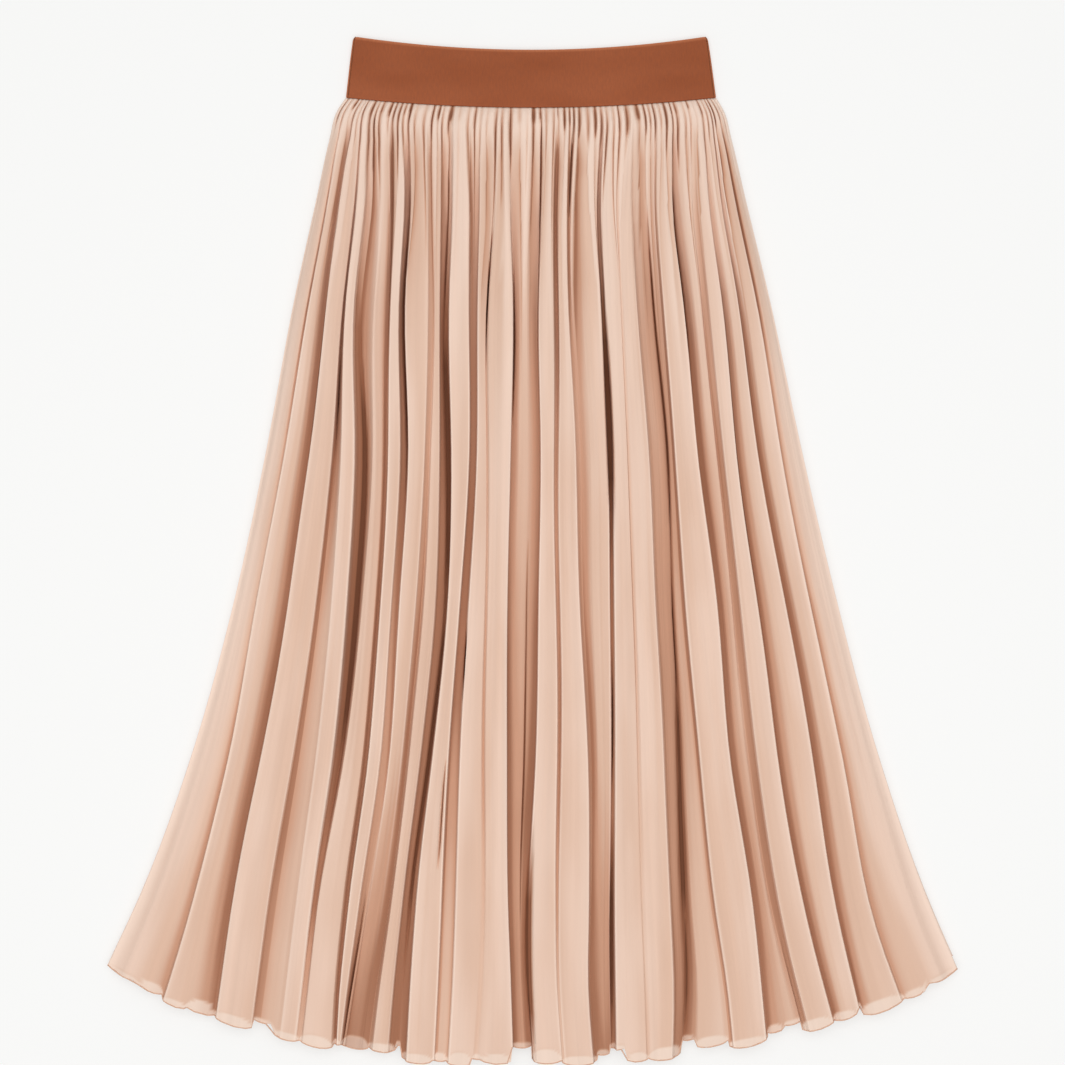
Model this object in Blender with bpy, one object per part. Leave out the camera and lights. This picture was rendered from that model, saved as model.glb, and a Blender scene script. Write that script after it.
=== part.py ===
"""A pleated chiffon skirt laid flat on its back: a wide elastic waistband, a front panel and a back panel.

The skirt lies on the XY plane with +Z up. The waist points to +Y and the hem to -Y. Both panels are cut
flared, gathered into the band and fall in long folds that widen towards the hem. Each panel is a thin wall
that is worked out section by section: a section runs from one side seam to the other, and a row of the fold
table says where each fold lies in it and how high it stands.
"""

from collections import namedtuple
from math import cos, pi, sin

import bmesh
import bpy
import numpy as np

MM = 0.001

# Driving sizes, in metres
BAND_TOP_LEFT, BAND_TOP_RIGHT = 0.178, 0.176  # half widths of the band's upper edge, laid flat
BAND_TOP_Y, BAND_TOP_SAG = 0.500, 0.0135  # its middle, and how far its ends stand above that
BAND_WALL, BAND_THICK = 0.0026, 0.0066  # one layer of elastic, and the two layers with air between
BAND_RIM = 0.0008  # rounding of the elastic's edges
BAND_CORNER = 0.005  # rounding of its two upper corners
SEAM_Y, SEAM_SAG = 0.442, 0.0100  # the gathered seam under the band
HEM_Y, HEM_SAG, HEM_POWER = -0.5096, 0.0930, 2.2  # lowest point of the hem, and how its ends curve up
SEAM_GAP = 0.0003  # between the pieces where they are sewn together
CLOTH = 0.0010  # thickness of the wall, square to the cloth
CLOTH_UPRIGHT = 0.0030  # most that the wall measures straight up, on the steepest folds
STEEPEST = 2.5  # rise over run of the steepest fold side
HEM_RISE = 0.012  # how much higher the hem ends in a valley than on a crown
HEM_BOW = 0.003  # how far the hem of one fold bows down
RECESS_FADE = 4  # power by which that rise fades out towards the side seams
BACK_SHORTER = 0.012  # the back hem ends this far above the front one
RESTING_CROWN = 0.8  # back folds with at least this crown lie flat on the table

# Outline of the skirt: share of the way down, and the half widths there in mm
Outline = namedtuple("Outline", "down left right")
OUTLINE = (
    Outline(0.000, 187, 184),
    Outline(0.014, 195, 191),
    Outline(0.048, 203, 199),
    Outline(0.117, 216, 213),
    Outline(0.232, 238, 237),
    Outline(0.405, 266, 269),
    Outline(0.578, 298, 304),
    Outline(0.750, 339, 344),
    Outline(0.923, 394, 396),
    Outline(1.000, 425, 425),
)

# Thickness of the layers down the skirt, in mm: top of the back panel, height of the front's folds, height
# of the small gathers under the seam
Layers = namedtuple("Layers", "down back fold gather")
LAYERS = (
    Layers(0.000, 3.3, 0.4, 1.1),
    Layers(0.014, 4.8, 2.2, 2.4),
    Layers(0.048, 7.0, 6.5, 3.0),
    Layers(0.117, 9.0, 12.5, 1.8),
    Layers(0.232, 9.8, 16.0, 0.8),
    Layers(0.578, 9.8, 16.5, 0.5),
    Layers(1.000, 9.0, 14.0, 0.4),
)

# Where the fold table's four places lie, as shares of the way down
PLACES = (0.0, 0.232, 0.578, 1.0)

# A row for each fold from the left seam to the right one: the gathers that feed it; where the valley on its
# right lies at the seam, a quarter down, past the middle and at the hem, in mm from the middle; the part of
# its width that its light face covers; its crown's height near the top and the hem; its right valley's
# height at both, all as shares of the fold height
Fold = namedtuple("Fold", "gathers seam upper lower hem face_from face_to crown crown_low valley valley_low")
FOLDS = (
    Fold(2, -180, -222, -277, -367, 0.35, 0.85, 0.62, 0.60, 0.42, 0.45),
    Fold(2, -170, -208, -248, -317, 0.20, 0.68, 0.80, 0.85, 0.20, 0.15),
    Fold(2, -163, -186, -215, -269, 0.30, 0.88, 0.92, 1.00, 0.30, 0.25),
    Fold(2, -152, -168, -180, -232, 0.20, 0.72, 0.95, 0.98, 0.00, 0.00),
    Fold(3, -135, -143, -159, -194, 0.35, 0.75, 0.70, 0.90, 0.20, 0.20),
    Fold(3, -120, -127, -138, -180, 0.25, 0.75, 0.95, 0.80, 0.05, 0.15),
    Fold(3, -98, -98, -115, -158, 0.20, 0.72, 1.00, 0.70, 0.50, 0.15),
    Fold(3, -80, -86, -93, -133, 0.30, 0.65, 0.70, 0.75, 0.00, 0.00),
    Fold(3, -56, -59, -73, -89, 0.20, 0.75, 1.00, 1.00, 0.25, 0.30),
    Fold(3, -35, -45, -45, -54, 0.35, 0.85, 0.80, 0.95, 0.35, 0.55),
    Fold(2, -22, -20, -23, -21, 0.20, 0.80, 1.00, 0.95, 0.10, 0.10),
    Fold(4, 9, 6, 3, -1, 0.30, 0.70, 0.95, 0.30, 0.20, 0.00),
    Fold(3, 26, 25, 27, 30, 0.20, 0.80, 1.00, 1.00, 0.30, 0.75),
    Fold(3, 41, 40, 55, 63, 0.25, 0.75, 0.95, 0.92, 0.30, 0.20),
    Fold(4, 68, 72, 81, 82, 0.30, 0.75, 0.75, 0.70, 0.05, 0.05),
    Fold(3, 86, 89, 102, 115, 0.30, 0.90, 0.98, 1.00, 0.75, 0.75),
    Fold(3, 110, 120, 140, 156, 0.10, 0.72, 0.95, 0.90, 0.00, 0.00),
    Fold(2, 120, 131, 156, 197, 0.35, 0.70, 0.30, 0.75, 0.05, 0.35),
    Fold(3, 136, 153, 192, 234, 0.25, 0.78, 1.00, 1.00, 0.10, 0.15),
    Fold(3, 153, 172, 207, 260, 0.35, 0.75, 0.85, 0.50, 0.20, 0.15),
    Fold(2, 164, 192, 236, 302, 0.28, 0.80, 1.00, 1.00, 0.35, 0.20),
    Fold(2, 172, 208, 261, 327, 0.28, 0.75, 0.85, 0.90, 0.15, 0.15),
    Fold(2, 178, 225, 282, 372, 0.30, 0.85, 0.78, 0.78, 0.40, 0.45),
    Fold(2, 184, 237, 304, 425, 0.15, 0.65, 0.62, 0.58, 0.00, 0.00),
)

# Heights of the sections, as shares of the way down: close together where the gathers end
SECTIONS = (0.0, 0.014, 0.035, 0.065, 0.11, 0.17, 0.25, 0.36, 0.48, 0.60, 0.72, 0.84, 0.93, 1.0)

# Looks of the two cloths: linear colour and roughness
CHIFFON = ("chiffon", (0.74, 0.50, 0.37), 0.85)
ELASTIC = ("elastic", (0.35, 0.10, 0.035), 0.80)

BAND_STEPS = 24  # lengths of the band's front and back
BAND_END_STEPS = 4  # facets round each of its folded ends
MERGE = 0.000001  # points nearer than this are one
SHARP_ANGLE = pi / 6  # edges that turn further than this stay crisp


def clear_scene():
    """Remove what a new scene starts with."""
    for thing in list(bpy.data.objects):
        bpy.data.objects.remove(thing, do_unlink=True)


def make_material(name, colour, roughness):
    """A plain cloth finish."""
    material = bpy.data.materials.new(name)
    material.use_nodes = True
    shader = material.node_tree.nodes["Principled BSDF"]
    shader.inputs["Base Color"].default_value = (*colour, 1.0)
    shader.inputs["Roughness"].default_value = roughness
    shader.inputs["Metallic"].default_value = 0.0
    return material


def add_object(name, bm, material):
    """Put a finished mesh in the scene under its piece's name."""
    bmesh.ops.recalc_face_normals(bm, faces=bm.faces)
    mesh = bpy.data.meshes.new(name)
    bm.to_mesh(mesh)
    bm.free()
    mesh.materials.append(material)
    thing = bpy.data.objects.new(name, mesh)
    bpy.context.scene.collection.objects.link(thing)
    mesh.shade_smooth()
    mesh.set_sharp_from_angle(angle=SHARP_ANGLE)
    return thing


def smooth_through(levels, values, at):
    """The value at one level of a smooth curve through a table's column."""
    slopes = np.gradient(values, levels)
    k = int(np.clip(np.searchsorted(levels, at) - 1, 0, len(levels) - 2))
    width = levels[k + 1] - levels[k]
    s = (at - levels[k]) / width
    start, end = values[k], values[k + 1]
    rise_start, rise_end = slopes[k] * width, slopes[k + 1] * width
    return (
        start * (1 + 2 * s) * (1 - s) ** 2
        + rise_start * s * (1 - s) ** 2
        + end * s**2 * (3 - 2 * s)
        + rise_end * s**2 * (s - 1)
    )


def column(table, name):
    """One named column of a table."""
    return np.array([getattr(row, name) for row in table], float)


def half_width(down, x):
    """The skirt's half width on the side of x, in metres."""
    side = "left" if x < 0 else "right"
    return MM * smooth_through(column(OUTLINE, "down"), column(OUTLINE, side), down)


def layer(name, down):
    """A layer's thickness at a share of the way down, in metres."""
    return MM * float(np.interp(down, column(LAYERS, "down"), column(LAYERS, name)))


def valley_x(fold, down):
    """Where the valley on a fold's right lies: it fans out with the outline."""
    places = [MM * x for x in (fold.seam, fold.upper, fold.lower, fold.hem)]
    shares = [x / half_width(place, x) for place, x in zip(PLACES, places)]
    share = smooth_through(np.array(PLACES), np.array(shares), down)
    return share * half_width(down, share)


def towards_hem(top, low, down):
    """A height that changes gently from its value near the top to the one at the hem."""
    s = min(max((down - PLACES[1]) / (PLACES[3] - PLACES[1]), 0.0), 1.0)
    return top + (low - top) * s * s * (3 - 2 * s)


def column_shares(fold, down):
    """The places of a fold's section points over its width: even in the gathers, on its edges below."""
    count = 2 * fold.gathers
    even = np.arange(count) / count
    edged = np.concatenate([[0.0], np.linspace(fold.face_from, fold.face_to, count - 1)])
    blend = min(down / PLACES[1], 1.0)
    return even + (edged - even) * blend


def fold_heights(down):
    """Section points of a whole panel, left to right: x, fold height, gather height and bow, as shares."""
    points = []
    left_x, left_valley = -half_width(down, -1.0), 0.0
    for fold in FOLDS:
        last = fold is FOLDS[-1]
        right_x = half_width(down, 1.0) if last else valley_x(fold, down)
        right_valley = 0.0 if last else towards_hem(fold.valley, fold.valley_low, down)
        crown = towards_hem(fold.crown, fold.crown_low, down)
        for k, share in enumerate(column_shares(fold, down)):
            if k == 0:
                height = left_valley
            else:
                height = float(np.interp(share, [0, fold.face_from, fold.face_to, 1],
                                         [left_valley, crown, crown, right_valley]))
            points.append((left_x + share * (right_x - left_x), height, k % 2, 4 * share * (1 - share)))
        left_x, left_valley = right_x, right_valley
    points.append((left_x, 0.0, 0, 0.0))
    return np.array(points)


def eased(x, z):
    """Lift the valleys of a section until no side is steeper than STEEPEST."""
    z = z.copy()
    for k in range(1, len(z)):
        z[k] = max(z[k], z[k - 1] - STEEPEST * (x[k] - x[k - 1]))
    for k in range(len(z) - 2, -1, -1):
        z[k] = max(z[k], z[k + 1] - STEEPEST * (x[k + 1] - x[k]))
    return z


def wall(x, z):
    """How thick the wall is, straight up, at each point of a section."""
    slope = np.abs(np.diff(z) / np.diff(x))
    steepest = np.maximum(np.append(slope, slope[-1]), np.insert(slope, 0, slope[0]))
    return np.minimum(CLOTH * np.sqrt(1 + steepest**2), CLOTH_UPRIGHT)


def front_section(down):
    """x, underside, top, height share and bow of the front panel's section."""
    x, share, gather, bow = fold_heights(down).T
    base = layer("back", down) + SEAM_GAP
    rise = layer("fold", down) * share + layer("gather", down) * gather
    rise[0] = rise[-1] = 0.0
    low = base + eased(x, rise)
    low[0] = low[-1] = base
    return x, low, low + wall(x, low), share, bow


def back_section(down):
    """x, underside, top, height share and bow of the back panel's section. Its folds face down."""
    x, share, gather, bow = fold_heights(down).T
    top = layer("back", down)
    room = max(top - CLOTH_UPRIGHT, 0.0)
    pressed = np.minimum(share / RESTING_CROWN, 1.0)
    rise = room * pressed + layer("gather", down) * gather * (1 - pressed)
    low = room - np.minimum(eased(x, np.minimum(rise, room)), room)
    thick = wall(x, low)
    low[0], low[-1] = top - thick[0], top - thick[-1]
    x = -x[::-1]
    scale = np.where(x < 0, half_width(down, -1.0) / -x[0], half_width(down, 1.0) / x[-1])
    return x * scale, low[::-1], (low + thick)[::-1], share[::-1], bow[::-1]


def down_the_skirt(x, down, share, bow):
    """The y of a cloth point: the sections curve from the band's arc to the hem's."""
    across = min(abs(x) / half_width(down, x), 1.0)
    seam = SEAM_Y + SEAM_SAG * across**2
    recess = HEM_RISE * (1 - share) * (1 - across**RECESS_FADE)
    hem = HEM_Y + HEM_SAG * across**HEM_POWER + recess - HEM_BOW * bow
    return seam - SEAM_GAP + down * (hem - seam)


def grid(bm, wide, long):
    """A grid's points with their column and row, row 0 at the waist."""
    bmesh.ops.create_grid(bm, x_segments=wide, y_segments=long, size=1.0)
    return [(v, round((v.co.x + 1) / 2 * wide), round((1 - v.co.y) / 2 * long)) for v in bm.verts]


def make_panel(name, section, length, material):
    """One panel: a grid laid through its sections, then given its wall. A length of 1 is the full one."""
    rows = [section(down * length) for down in SECTIONS]
    bm = bmesh.new()
    upright = bm.verts.layers.float.new("upright")
    for vert, k, j in grid(bm, len(rows[0][0]) - 1, len(rows) - 1):
        x, low, top, share, bow = (values[k] for values in rows[j])
        vert.co = (x, down_the_skirt(x, SECTIONS[j] * length, share, bow), top)
        vert[upright] = top - low
    bmesh.ops.triangulate(bm, faces=bm.faces)
    made = bmesh.ops.extrude_face_region(bm, geom=bm.faces[:])["geom"]
    for vert in (part for part in made if isinstance(part, bmesh.types.BMVert)):
        vert.co.z -= vert[upright]
    return add_object(name, bm, material)


def band_outline(inset):
    """The flattened ring of the band, seen along its height, as (share across, metres in from the end, z)."""
    half = BAND_THICK / 2 - inset
    near_end = 1 - BAND_CORNER / BAND_TOP_LEFT
    across = np.concatenate([[-near_end], np.linspace(-1, 1, BAND_STEPS + 1)[1:-1], [near_end]])
    front = [(a, 0.0, half) for a in across]
    turns = [pi / 2 - pi * k / BAND_END_STEPS for k in range(BAND_END_STEPS + 1)]
    right = [(1.0, half * (1 - cos(turn)) + inset, half * sin(turn)) for turn in turns]
    back = [(-a, d, -z) for a, d, z in front]
    left = [(-a, d, -z) for a, d, z in right]
    return front + right + back + left


def band_point(across, end, z, up, cut):
    """A point of the band: its edges are arcs, its width grows towards the seam and its corners are cut."""
    left = BAND_TOP_LEFT + (half_width(0, -1.0) - BAND_TOP_LEFT) * (1 - up)
    right = BAND_TOP_RIGHT + (half_width(0, 1.0) - BAND_TOP_RIGHT) * (1 - up)
    x = across * (left if across < 0 else right)
    x -= end * (1 if across > 0 else -1)
    bottom = SEAM_Y + SEAM_SAG * across**2
    top = BAND_TOP_Y + BAND_TOP_SAG * across**2
    return x, bottom + up * (top - bottom) - cut, z + BAND_THICK / 2


def make_waistband(material):
    """The elastic band: a grid rolled into a ring pressed flat, with rounded rims."""
    rim = BAND_RIM / (BAND_TOP_Y - SEAM_Y)
    inner = BAND_WALL - BAND_RIM
    rings = (
        (0.0, rim), (0.0, 1 - rim), (BAND_RIM, 1.0), (inner, 1.0),
        (BAND_WALL, 1 - rim), (BAND_WALL, rim), (inner, 0.0), (BAND_RIM, 0.0),
    )
    around = len(band_outline(0.0))
    bm = bmesh.new()
    for vert, k, j in grid(bm, around, len(rings)):
        inset, up = rings[j % len(rings)]
        across, end, z = band_outline(inset)[k % around]
        cut = BAND_CORNER / 2 if abs(across) == 1.0 and up >= 1 - rim else 0.0
        vert.co = band_point(across, end, z, up, cut)
    bmesh.ops.remove_doubles(bm, verts=bm.verts, dist=MERGE)
    return add_object("waistband", bm, material)


def main():
    """Build the skirt."""
    clear_scene()
    chiffon = make_material(*CHIFFON)
    elastic = make_material(*ELASTIC)
    make_waistband(elastic)
    make_panel("front_panel", front_section, 1.0, chiffon)
    make_panel("back_panel", back_section, 1 - BACK_SHORTER / (SEAM_Y - HEM_Y), chiffon)


main()
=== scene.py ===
"""The looks of a gathered chiffon skirt laid flat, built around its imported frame.

The skirt lies on its back on a pale surface, waist towards +Y, seen from straight above. Each panel is one
thin shell of cloth laid in long folds that fan out from the elastic band to the hem.
"""

import logging
import math
from dataclasses import dataclass
from enum import Enum
from typing import Iterator, NamedTuple

import bmesh
import bpy
import numpy as np
from bpy.types import Material, Node, NodeSocket, NodeTree, Object
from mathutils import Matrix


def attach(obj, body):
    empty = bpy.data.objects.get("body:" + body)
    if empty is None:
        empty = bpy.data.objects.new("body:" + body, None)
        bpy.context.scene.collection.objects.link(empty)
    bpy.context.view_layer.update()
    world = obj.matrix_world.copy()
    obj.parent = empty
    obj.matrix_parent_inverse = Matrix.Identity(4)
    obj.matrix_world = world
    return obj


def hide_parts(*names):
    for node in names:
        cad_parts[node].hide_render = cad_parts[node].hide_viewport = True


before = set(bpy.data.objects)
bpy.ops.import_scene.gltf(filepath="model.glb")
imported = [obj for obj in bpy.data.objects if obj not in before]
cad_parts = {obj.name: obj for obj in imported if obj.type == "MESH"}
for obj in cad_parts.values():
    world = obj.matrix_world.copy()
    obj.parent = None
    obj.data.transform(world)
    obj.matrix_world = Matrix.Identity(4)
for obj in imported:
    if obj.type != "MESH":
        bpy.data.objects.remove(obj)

LOG = logging.getLogger("skirt")
BODY = "root"
MM = 0.001
Array = np.ndarray
Colour = tuple[float, float, float]


class Edge(Enum):
    """How a fold's face ends: width in mm of its crisp drop, and the share of the way down that it drops."""

    CRISP = (1.6, 1.0)
    LEDGE = (1.5, 0.45)
    STEP = (1.3, 0.22)
    SOFT = (1.0, 0.0)


class Side(Enum):
    """Which way a panel's folds stand."""

    FRONT = 1
    BACK = -1


class Form(Enum):
    """The form of a crease: a trough, a ridge, or a low edge that stands up on its left or its right."""

    TROUGH = -1
    RIDGE = 1
    LEFT = 2
    RIGHT = 3


class Outline(NamedTuple):
    """The skirt's half widths, in mm, at a share of the way down."""

    down: float
    left: float
    right: float


class Layers(NamedTuple):
    """Heights at a share of the way down, in mm: top of the back panel, front folds, gathers."""

    down: float
    back: float
    fold: float
    gather: float


class Fold(NamedTuple):
    """One fold, from the valley on its left to the valley on its right.

    The track is where the right valley lies at the seam, at each of TRACK_Y and at the hem, in mm from the
    middle. The face's ends are shares of the fold's width, near the top and then at the hem. The crown's and
    right valley's heights are shares of the fold height near the top, half way and at the hem. The tilt is the
    share by which the face falls to the right, or to the left where it is below 0.
    """

    gathers: int
    track: tuple
    face: tuple
    crown: tuple
    valley: tuple
    left_edge: Edge
    right_edge: Edge
    tilt: float


class Lobe(NamedTuple):
    """One lobe of the hem: its right end in mm from the middle, its rise and the height of its sheer part."""

    right: float
    rise: float
    sheer: float


class Crease(NamedTuple):
    """A soft crease along a fold: its fold, its place across it at both ends, its stretch, and its size in mm."""

    fold: int
    share: float
    share_low: float
    start: float
    end: float
    depth: float
    width: float
    form: Form


class Gap(NamedTuple):
    """A deep gap that opens between two layers: its fold, its place across it, its stretch and width in mm."""

    fold: int
    share: float
    start: float
    end: float
    width: float


class Strip(NamedTuple):
    """One fold's columns.

    It has the fold's place in FOLDS, the columns' even and final places across it, as shares of its width, and
    each row's share of the way down and width.
    """

    index: int
    fold: Fold
    even: Array
    share: Array
    down: Array
    width: Array


def rows_of(kind: type, *rows: tuple) -> tuple:
    """A table of named rows."""
    return tuple(kind(*row) for row in rows)


OUTLINE = rows_of(
    Outline,
    (0.000, 187, 184), (0.014, 195, 191), (0.048, 203, 199), (0.117, 216, 213), (0.232, 238, 237),
    (0.405, 266, 269), (0.578, 298, 304), (0.750, 339, 344), (0.923, 394, 396), (1.000, 425, 425),
)

LAYERS = rows_of(
    Layers,
    (0.000, 3.3, 0.4, 1.4), (0.006, 3.9, 1.2, 4.0), (0.020, 5.2, 2.9, 5.4), (0.048, 7.0, 6.5, 5.6),
    (0.117, 9.0, 12.5, 3.8), (0.232, 9.8, 16.0, 1.6), (0.578, 9.8, 16.5, 0.6), (1.000, 9.0, 14.0, 0.4),
)

TRACK_Y = (0.349, 0.249, 0.099, -0.051, -0.201, -0.351, -0.431)

C, L, T, S = Edge.CRISP, Edge.LEDGE, Edge.STEP, Edge.SOFT
FOLDS = rows_of(
    Fold,
    (2, (-180, -204, -222, -246, -276, -304, -342, -368, -370),
     (0.24, 0.86, 0.30, 0.84), (0.70, 0.66, 0.62), (0.55, 0.60, 0.52), S, S, 0.08),
    (2, (-170, -192, -206, -222, -244, -272, -300, -316, -318),
     (0.06, 0.55, 0.06, 0.50), (0.84, 0.85, 0.87), (0.36, 0.38, 0.38), C, S, 0.20),
    (2, (-163, -176, -186, -196, -212, -232, -254, -268, -270),
     (0.06, 0.90, 0.06, 0.80), (0.94, 0.98, 1.00), (0.35, 0.50, 0.42), C, L, 0.20),
    (2, (-152, -160, -170, -166, -176, -190, -214, -230, -232),
     (0.10, 0.55, 0.50, 0.86), (0.95, 0.96, 0.94), (0.10, 0.15, 0.80), T, C, 0.10),
    (3, (-135, -140, -142, -146, -154, -164, -186, -194, -196),
     (0.50, 0.80, 0.06, 0.85), (0.55, 0.78, 0.97), (0.34, 0.45, 0.50), S, S, 0.15),
    (3, (-120, -122, -128, -126, -134, -142, -166, -180, -190),
     (0.14, 0.66, 0.14, 0.62), (0.97, 0.94, 0.82), (0.22, 0.56, 0.30), C, L, 0.12),
    (3, (-98, -100, -98, -104, -110, -124, -144, -156, -164),
     (0.08, 0.80, 0.10, 0.70), (1.00, 0.84, 0.08), (0.66, 0.50, 0.25), C, T, 0.25),
    (3, (-80, -84, -88, -84, -88, -102, -122, -130, -134),
     (0.12, 0.52, 0.15, 0.62), (0.72, 0.74, 0.82), (0.12, 0.30, 0.24), S, L, 0.15),
    (3, (-56, -58, -58, -60, -70, -80, -88, -92, -96),
     (0.18, 0.80, 0.20, 0.90), (1.00, 1.00, 1.00), (0.42, 0.52, 0.68), C, C, 0.14),
    (3, (-35, -38, -44, -46, -46, -48, -50, -52, -56),
     (0.30, 0.92, 0.30, 0.92), (0.90, 0.95, 0.97), (0.82, 0.84, 0.86), C, S, 0.12),
    (2, (-22, -22, -20, -22, -24, -24, -24, -22, -20),
     (0.10, 0.97, 0.10, 0.97), (1.00, 0.99, 0.97), (0.34, 0.32, 0.30), S, C, -0.10),
    (4, (9, 8, 6, 8, 4, 2, -4, -4, 0),
     (0.30, 0.56, 0.20, 0.56), (0.60, 0.38, 0.30), (0.28, 0.22, 0.06), S, S, 0.00),
    (3, (26, 24, 24, 24, 26, 26, 26, 26, 30),
     (0.08, 0.78, 0.06, 0.92), (1.00, 1.00, 1.00), (0.66, 0.76, 0.88), C, L, 0.08),
    (3, (41, 38, 38, 48, 52, 58, 58, 58, 64),
     (0.14, 0.72, 0.05, 0.92), (0.96, 0.96, 0.96), (0.55, 0.46, 0.36), T, L, -0.12),
    (4, (68, 66, 70, 76, 78, 80, 80, 80, 80),
     (0.35, 0.92, 0.30, 0.90), (0.84, 0.80, 0.24), (0.15, 0.60, 0.16), S, C, -0.12),
    (3, (86, 84, 88, 96, 100, 104, 110, 114, 116),
     (0.16, 0.94, 0.12, 0.94), (0.98, 0.98, 1.00), (0.88, 0.88, 0.88), C, S, 0.10),
    (3, (110, 114, 120, 136, 138, 146, 152, 154, 150),
     (0.08, 0.46, 0.08, 0.66), (0.96, 0.95, 0.94), (0.36, 0.30, 0.20), S, L, 0.12),
    (2, (120, 122, 128, 138, 148, 164, 178, 190, 196),
     (0.40, 0.80, 0.30, 0.85), (0.42, 0.50, 0.80), (0.44, 0.50, 0.70), S, S, -0.25),
    (3, (136, 140, 150, 164, 186, 198, 220, 226, 234),
     (0.12, 0.94, 0.10, 0.94), (1.00, 1.00, 1.00), (0.30, 0.36, 0.40), C, C, -0.18),
    (3, (153, 160, 170, 184, 200, 216, 236, 252, 268),
     (0.60, 0.90, 0.55, 0.80), (0.80, 0.56, 0.52), (0.60, 0.46, 0.42), S, S, -0.15),
    (2, (164, 176, 188, 204, 224, 244, 272, 294, 300),
     (0.32, 0.94, 0.26, 0.94), (1.00, 1.00, 1.00), (0.48, 0.50, 0.46), L, C, -0.16),
    (2, (172, 188, 204, 226, 252, 280, 304, 320, 326),
     (0.48, 0.93, 0.40, 0.92), (0.88, 0.90, 0.92), (0.40, 0.44, 0.42), S, C, -0.16),
    (2, (178, 202, 222, 248, 278, 308, 338, 364, 372),
     (0.38, 0.94, 0.34, 0.92), (0.84, 0.84, 0.84), (0.50, 0.52, 0.52), S, C, -0.16),
    (2, (184, 205, 226, 258, 290, 322, 374, 405, 425),
     (0.25, 0.76, 0.22, 0.70), (0.70, 0.66, 0.62), (0.00, 0.00, 0.00), S, S, -0.08),
)

LOBES = rows_of(
    Lobe,
    (-394.5, -1.0, 5.0), (-369.5, -4.0, 10.0), (-345.5, -8.5, 7.0), (-318.5, -6.5, 13.0), (-279.5, -6.5, 11.0),
    (-259.5, 3.5, 4.0), (-232.5, -6.0, 8.0), (-199.5, -6.0, 12.0), (-191.5, -0.5, 5.0), (-164.5, -2.0, 12.0),
    (-137.5, 0.0, 9.0), (-131.5, 7.0, 4.0), (-99.5, -6.5, 10.0), (-85.5, -3.5, 9.0), (-60.5, -5.8, 14.0),
    (-50.5, 1.0, 6.0), (-20.5, -2.5, 11.0), (-0.5, 12.5, 5.0), (29.5, -1.5, 15.0), (64.5, -4.0, 10.0),
    (76.5, 3.3, 5.0), (94.5, 9.3, 5.0), (115.5, -4.0, 10.0), (148.5, -4.8, 13.0), (161.5, 9.5, 5.0),
    (195.5, 1.5, 11.0), (234.5, -5.0, 9.0), (250.5, 1.0, 8.0), (269.5, 4.8, 5.0), (300.5, -6.0, 12.0),
    (323.5, -5.0, 9.0), (328.5, 1.0, 4.0), (371.5, -10.0, 13.0), (395.5, -9.0, 8.0), (425.5, -4.5, 6.0),
)

CREASES = rows_of(
    Crease,
    (0, 0.30, 0.42, 0.30, 0.95, 1.2, 2.0, Form.LEFT), (0, 0.62, 0.55, 0.55, 1.00, 1.0, 3.0, Form.RIDGE),
    (1, 0.26, 0.30, 0.25, 1.00, 0.9, 2.0, Form.RIDGE), (2, 0.40, 0.34, 0.22, 0.88, 1.6, 2.5, Form.RIDGE),
    (2, 0.62, 0.58, 0.35, 1.00, 1.0, 3.0, Form.LEFT), (3, 0.42, 0.50, 0.45, 1.00, 1.0, 2.0, Form.TROUGH),
    (4, 0.50, 0.46, 0.22, 0.80, 1.4, 2.5, Form.RIDGE), (6, 0.45, 0.50, 0.30, 1.00, 1.0, 2.5, Form.LEFT),
    (7, 0.45, 0.50, 0.40, 1.00, 1.2, 2.0, Form.RIDGE), (8, 0.55, 0.45, 0.40, 1.00, 0.9, 2.0, Form.TROUGH),
    (10, 0.38, 0.34, 0.25, 0.92, 1.1, 1.5, Form.LEFT), (12, 0.50, 0.42, 0.30, 0.95, 0.8, 2.5, Form.TROUGH),
    (13, 0.60, 0.45, 0.30, 0.85, 1.0, 2.5, Form.RIGHT), (14, 0.52, 0.60, 0.18, 0.95, 1.0, 2.0, Form.RIGHT),
    (15, 0.50, 0.44, 0.45, 1.00, 0.8, 2.5, Form.TROUGH), (16, 0.36, 0.42, 0.22, 0.80, 1.3, 3.0, Form.RIGHT),
    (17, 0.55, 0.50, 0.50, 1.00, 1.0, 2.0, Form.RIDGE), (18, 0.45, 0.55, 0.30, 1.00, 1.3, 2.5, Form.RIGHT),
    (18, 0.66, 0.72, 0.42, 0.95, 0.9, 1.6, Form.TROUGH), (19, 0.40, 0.45, 0.35, 1.00, 0.9, 3.0, Form.RIDGE),
    (20, 0.55, 0.52, 0.22, 0.92, 1.2, 2.0, Form.RIGHT), (21, 0.55, 0.60, 0.45, 1.00, 1.0, 2.5, Form.RIDGE),
    (22, 0.60, 0.66, 0.30, 1.00, 1.2, 2.0, Form.RIGHT), (23, 0.30, 0.40, 0.40, 1.00, 1.2, 2.5, Form.RIGHT),
    (23, 0.58, 0.62, 0.55, 0.95, 0.9, 3.0, Form.TROUGH),
)

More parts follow.
